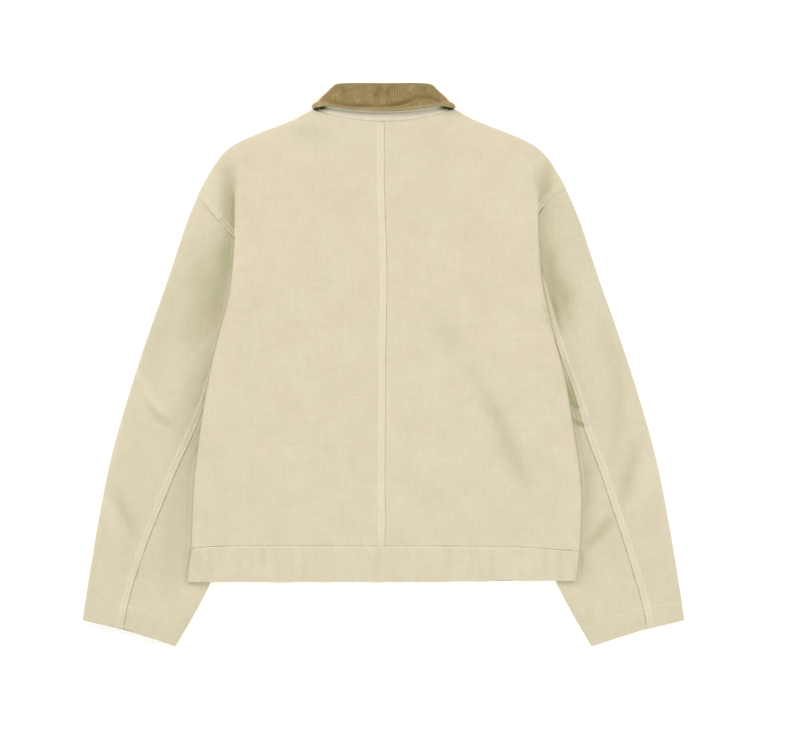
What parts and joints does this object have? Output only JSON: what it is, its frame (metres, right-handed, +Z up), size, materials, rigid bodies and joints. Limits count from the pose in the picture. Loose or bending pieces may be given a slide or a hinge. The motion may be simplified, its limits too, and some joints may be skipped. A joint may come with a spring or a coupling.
{
  "type": "chore jacket laid flat",
  "caption": "Cropped canvas chore jacket laid face down: two-piece back, two-piece sleeves, waistband and turned-down corduroy collar",
  "frame": {"origin": "on the surface that the jacket lies on, under the middle of its outline", "axes": "+X across the jacket to the right as its back is seen, +Y from hem to collar, +Z up from the surface"},
  "size_m": [0.837, 0.7828, 0.0224],
  "materials": {
    "canvas": "cream heavy cotton canvas, garment washed",
    "collar_canvas": "lighter cream canvas inside the collar",
    "corduroy": "tan cotton corduroy, wales down the collar"
  },
  "bodies": {
    "root": {"back_left": "canvas", "back_right": "canvas", "front_left": "canvas", "front_right": "canvas", "sleeve_left_outer": "canvas", "sleeve_left_inner": "canvas", "sleeve_right_outer": "canvas", "sleeve_right_inner": "canvas", "waistband_back": "canvas", "waistband_front_left": "canvas", "waistband_front_right": "canvas", "neckband": "collar_canvas", "collar_under": "collar_canvas", "collar_top": "corduroy"}
  },
  "joints": []
}
